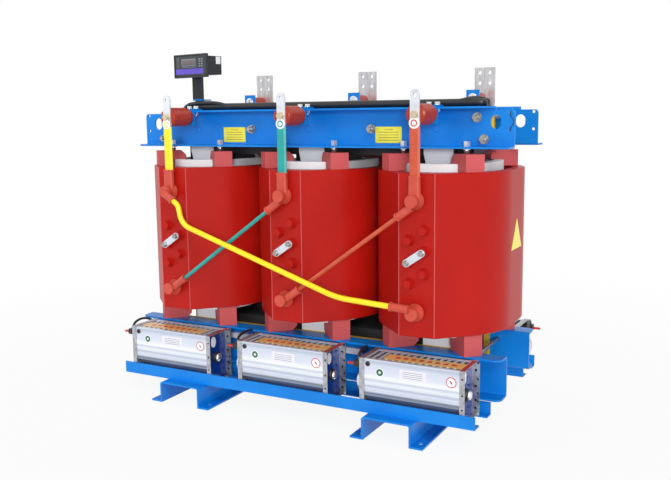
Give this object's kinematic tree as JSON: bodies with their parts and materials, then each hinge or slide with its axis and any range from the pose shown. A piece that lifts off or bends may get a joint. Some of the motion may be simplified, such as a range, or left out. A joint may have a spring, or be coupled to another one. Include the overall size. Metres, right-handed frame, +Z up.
{
  "type": "dry type transformer",
  "caption": "Cast-resin dry-type power transformer with three oblong coils on a laminated core, clamped in steel channels, with delta links, post insulators and crossflow fans.",
  "frame": {"origin": "on the floor under the middle coil, at the centre of the footprint", "axes": "+X along the row of three coils, +Y towards the low-voltage side (the high-voltage front faces -Y), +Z up"},
  "size_m": [1.4, 0.784, 1.214],
  "materials": {
    "clamp_blue": "gloss",
    "bolt_zinc": "satin",
    "core_steel": "satin",
    "tie_plate_white": "satin",
    "board_yellow": "matt",
    "lv_resin": "satin",
    "hv_resin": "satin",
    "block_resin": "matt",
    "insulator_resin": "gloss",
    "terminal_tin": "satin",
    "sleeve_yellow": "gloss",
    "sleeve_green": "gloss",
    "sleeve_red": "gloss",
    "boot_rubber": "satin",
    "fan_aluminium": "satin",
    "fan_galvanised": "satin",
    "fan_motor_steel": "satin",
    "fan_bearing_rubber": "matt",
    "impeller_aluminium": "satin",
    "controller_plastic": "satin",
    "post_paint": "satin",
    "harness_black": "satin",
    "duct_white": "satin"
  },
  "bodies": {
    "transformer": {"clamp_risers": "clamp_blue", "controller": "controller_plastic", "controller_post": "post_paint", "core_leg_a": "core_steel", "core_leg_b": "core_steel", "core_leg_c": "core_steel", "core_yoke_bottom": "core_steel", "core_yoke_top": "core_steel", "cross_studs": "bolt_zinc", "delta_link_a": "sleeve_yellow", "delta_link_b": "sleeve_green", "delta_link_c": "sleeve_red", "fan_bearings": "fan_bearing_rubber", "fan_covers": "fan_aluminium", "fan_end_plates": "fan_galvanised", "fan_motors": "fan_motor_steel", "fan_rails": "clamp_blue", "foot_left": "clamp_blue", "foot_right": "clamp_blue", "hv_coil_a": "hv_resin", "hv_coil_b": "hv_resin", "hv_coil_c": "hv_resin", "hv_lead_a": "sleeve_yellow", "hv_lead_b": "sleeve_green", "hv_lead_c": "sleeve_red", "hv_terminal_a": "terminal_tin", "hv_terminal_b": "terminal_tin", "hv_terminal_c": "terminal_tin", "insulation_boards": "board_yellow", "insulator_brackets": "clamp_blue", "lead_boots": "boot_rubber", "leg_tie_plates": "tie_plate_white", "lower_clamp_front": "clamp_blue", "lower_clamp_rear": "clamp_blue", "lv_brackets": "clamp_blue", "lv_coil_a": "lv_resin", "lv_coil_b": "lv_resin", "lv_coil_c": "lv_resin", "lv_supports": "insulator_resin", "lv_terminal_a": "terminal_tin", "lv_terminal_b": "terminal_tin", "lv_terminal_c": "terminal_tin", "post_insulator_a": "insulator_resin", "post_insulator_b": "insulator_resin", "post_insulator_c": "insulator_resin", "pressure_bolts": "bolt_zinc", "support_blocks_bottom": "block_resin", "support_blocks_top": "block_resin", "tap_bolts": "bolt_zinc", "tap_links": "terminal_tin", "upper_clamp_front": "clamp_blue", "upper_clamp_rear": "clamp_blue", "wiring_ducts": "duct_white", "yoke_harness": "harness_black"},
    "impeller_front_a_body": {"impeller_front_a": "impeller_aluminium"},
    "impeller_front_b_body": {"impeller_front_b": "impeller_aluminium"},
    "impeller_front_c_body": {"impeller_front_c": "impeller_aluminium"},
    "impeller_rear_a_body": {"impeller_rear_a": "impeller_aluminium"},
    "impeller_rear_b_body": {"impeller_rear_b": "impeller_aluminium"},
    "impeller_rear_c_body": {"impeller_rear_c": "impeller_aluminium"}
  },
  "joints": [
    {"name": "impeller_front_a_spin", "type": "hinge", "parent": "transformer", "child": "impeller_front_a_body", "pos_m": [-0.455, -0.3, 0.16], "axis": [1, 0, 0], "continuous": true},
    {"name": "impeller_front_b_spin", "type": "hinge", "parent": "transformer", "child": "impeller_front_b_body", "pos_m": [0, -0.3, 0.16], "axis": [1, 0, 0], "continuous": true},
    {"name": "impeller_front_c_spin", "type": "hinge", "parent": "transformer", "child": "impeller_front_c_body", "pos_m": [0.455, -0.3, 0.16], "axis": [1, 0, 0], "continuous": true},
    {"name": "impeller_rear_a_spin", "type": "hinge", "parent": "transformer", "child": "impeller_rear_a_body", "pos_m": [-0.455, 0.3, 0.16], "axis": [1, 0, 0], "continuous": true},
    {"name": "impeller_rear_b_spin", "type": "hinge", "parent": "transformer", "child": "impeller_rear_b_body", "pos_m": [0, 0.3, 0.16], "axis": [1, 0, 0], "continuous": true},
    {"name": "impeller_rear_c_spin", "type": "hinge", "parent": "transformer", "child": "impeller_rear_c_body", "pos_m": [0.455, 0.3, 0.16], "axis": [1, 0, 0], "continuous": true}
  ]
}
